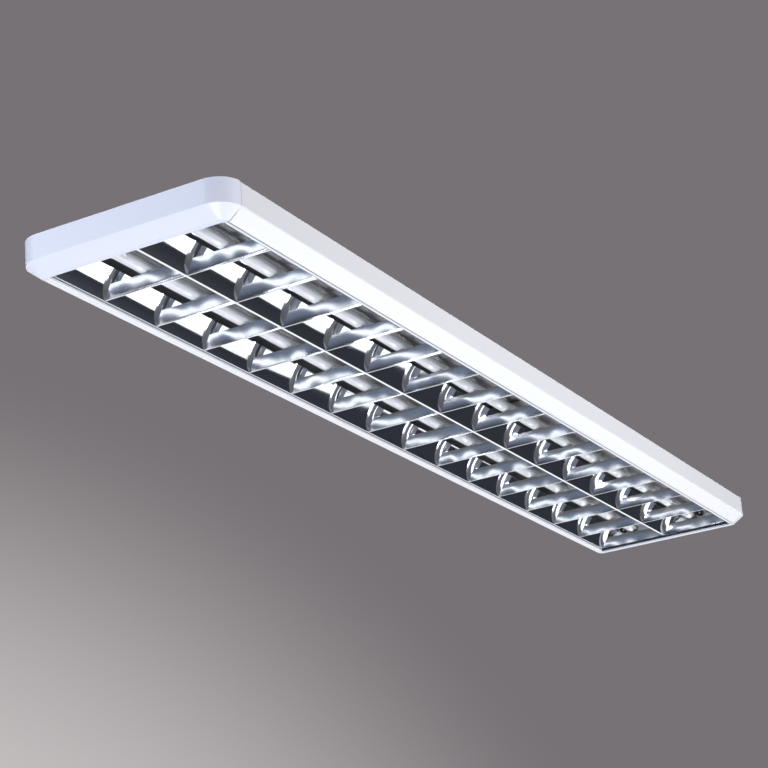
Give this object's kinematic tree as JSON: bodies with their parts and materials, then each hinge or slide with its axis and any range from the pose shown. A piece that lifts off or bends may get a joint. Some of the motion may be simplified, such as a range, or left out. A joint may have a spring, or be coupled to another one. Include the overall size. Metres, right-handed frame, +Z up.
{
  "type": "surface-mounted louvre light fixture",
  "caption": "Slim white ceiling light for tubular lamps, with a hinged mirror louvre of hollow reflectors and cross blades, moulded end caps and electronic gear inside.",
  "frame": {"origin": "middle of the flat face that lies on the ceiling", "axes": "+X along the lamps towards the far end, +Y across them towards the louvre's hinge side, +Z up into the ceiling"},
  "size_m": [1.508, 0.264, 0.04],
  "materials": {
    "white_enamel": "glossy white powder coat on folded steel sheet",
    "cap_plastic": "glossy white moulding",
    "mirror_aluminium": "bright mirror-anodised sheet",
    "zinc_steel": "zinc-plated steel sheet",
    "screw_steel": "zinc-plated screws and pins",
    "holder_plastic": "white thermoplastic",
    "fastener_plastic": "black moulded nylon",
    "lamp_glass": "frosted white glass tube",
    "cap_metal": "satin lamp caps",
    "grommet_rubber": "soft black rubber",
    "block_plastic": "ivory thermoplastic",
    "button_plastic": "orange thermoplastic",
    "earth_brass": "plain brass",
    "gear_enamel": "grey coated steel case",
    "board_laminate": "green circuit laminate",
    "wire_brown": "insulated wire",
    "wire_green": "insulated wire",
    "wire_white": "insulated wire"
  },
  "bodies": {
    "root": {"housing_channel": "white_enamel", "end_cap_near": "cap_plastic", "end_cap_far": "cap_plastic", "end_cap_screws": "screw_steel", "end_bracket_near": "zinc_steel", "end_bracket_far": "zinc_steel", "lampholder_near_left": "holder_plastic", "lampholder_near_right": "holder_plastic", "lampholder_far_left": "holder_plastic", "lampholder_far_right": "holder_plastic", "end_plate_near_left": "mirror_aluminium", "end_plate_near_right": "mirror_aluminium", "end_plate_far_left": "mirror_aluminium", "end_plate_far_right": "mirror_aluminium", "cable_grommet": "grommet_rubber", "terminal_block": "block_plastic", "earth_screw": "earth_brass", "ballast_case": "gear_enamel", "ballast_board": "board_laminate", "ballast_terminals": "block_plastic", "gear_screws": "screw_steel", "supply_wires": "wire_brown", "earth_wire": "wire_green", "lamp_wires": "wire_white"},
    "louvre": {"side_reflector_left": "mirror_aluminium", "side_reflector_right": "mirror_aluminium", "spine_reflector": "mirror_aluminium", "end_rail_near": "mirror_aluminium", "end_rail_far": "mirror_aluminium", "cross_blade_01": "mirror_aluminium", "cross_blade_02": "mirror_aluminium", "cross_blade_03": "mirror_aluminium", "cross_blade_04": "mirror_aluminium", "cross_blade_05": "mirror_aluminium", "cross_blade_06": "mirror_aluminium", "cross_blade_07": "mirror_aluminium", "cross_blade_08": "mirror_aluminium", "cross_blade_09": "mirror_aluminium", "cross_blade_10": "mirror_aluminium", "cross_blade_11": "mirror_aluminium", "cross_blade_12": "mirror_aluminium", "cross_blade_13": "mirror_aluminium", "cross_blade_14": "mirror_aluminium", "louvre_pins": "screw_steel"},
    "lamp_left": {"lamp_tube_left": "lamp_glass", "lamp_caps_left": "cap_metal", "rotor_near_left": "holder_plastic", "rotor_far_left": "holder_plastic"},
    "lamp_right": {"lamp_tube_right": "lamp_glass", "lamp_caps_right": "cap_metal", "rotor_near_right": "holder_plastic", "rotor_far_right": "holder_plastic"},
    "fastener_near_left": {"fastener_near_left": "fastener_plastic"},
    "fastener_near_right": {"fastener_near_right": "fastener_plastic"},
    "fastener_far_left": {"fastener_far_left": "fastener_plastic"},
    "fastener_far_right": {"fastener_far_right": "fastener_plastic"},
    "button_1": {"terminal_button_1": "button_plastic"},
    "button_2": {"terminal_button_2": "button_plastic"},
    "button_3": {"terminal_button_3": "button_plastic"}
  },
  "joints": [
    {"name": "louvre_swing", "type": "hinge", "parent": "root", "child": "louvre", "pos_m": [0, 0.096, -0.029], "axis": [1, 0, 0], "range_deg": [0, 88]},
    {"name": "lamp_left_turn", "type": "hinge", "parent": "root", "child": "lamp_left", "pos_m": [0, 0.05045, -0.013], "axis": [1, 0, 0], "range_deg": [0, 90]},
    {"name": "lamp_right_turn", "type": "hinge", "parent": "root", "child": "lamp_right", "pos_m": [0, -0.05045, -0.013], "axis": [1, 0, 0], "range_deg": [0, 90]},
    {"name": "fastener_near_left_turn", "type": "hinge", "parent": "root", "child": "fastener_near_left", "pos_m": [-0.722, 0.06545, -0.013], "axis": [1, 0, 0], "range_deg": [-90, 0]},
    {"name": "fastener_near_right_turn", "type": "hinge", "parent": "root", "child": "fastener_near_right", "pos_m": [-0.722, -0.06545, -0.013], "axis": [1, 0, 0], "range_deg": [0, 90]},
    {"name": "fastener_far_left_turn", "type": "hinge", "parent": "root", "child": "fastener_far_left", "pos_m": [0.722, 0.06545, -0.013], "axis": [1, 0, 0], "range_deg": [-90, 0]},
    {"name": "fastener_far_right_turn", "type": "hinge", "parent": "root", "child": "fastener_far_right", "pos_m": [0.722, -0.06545, -0.013], "axis": [1, 0, 0], "range_deg": [0, 90]},
    {"name": "button_1_press", "type": "slide", "parent": "root", "child": "button_1", "axis": [0, 0, 1], "range_m": [0, 0.0012], "stiffness_N_per_m": 400, "springref_m": -0.0005},
    {"name": "button_2_press", "type": "slide", "parent": "root", "child": "button_2", "axis": [0, 0, 1], "range_m": [0, 0.0012], "stiffness_N_per_m": 400, "springref_m": -0.0005},
    {"name": "button_3_press", "type": "slide", "parent": "root", "child": "button_3", "axis": [0, 0, 1], "range_m": [0, 0.0012], "stiffness_N_per_m": 400, "springref_m": -0.0005}
  ]
}
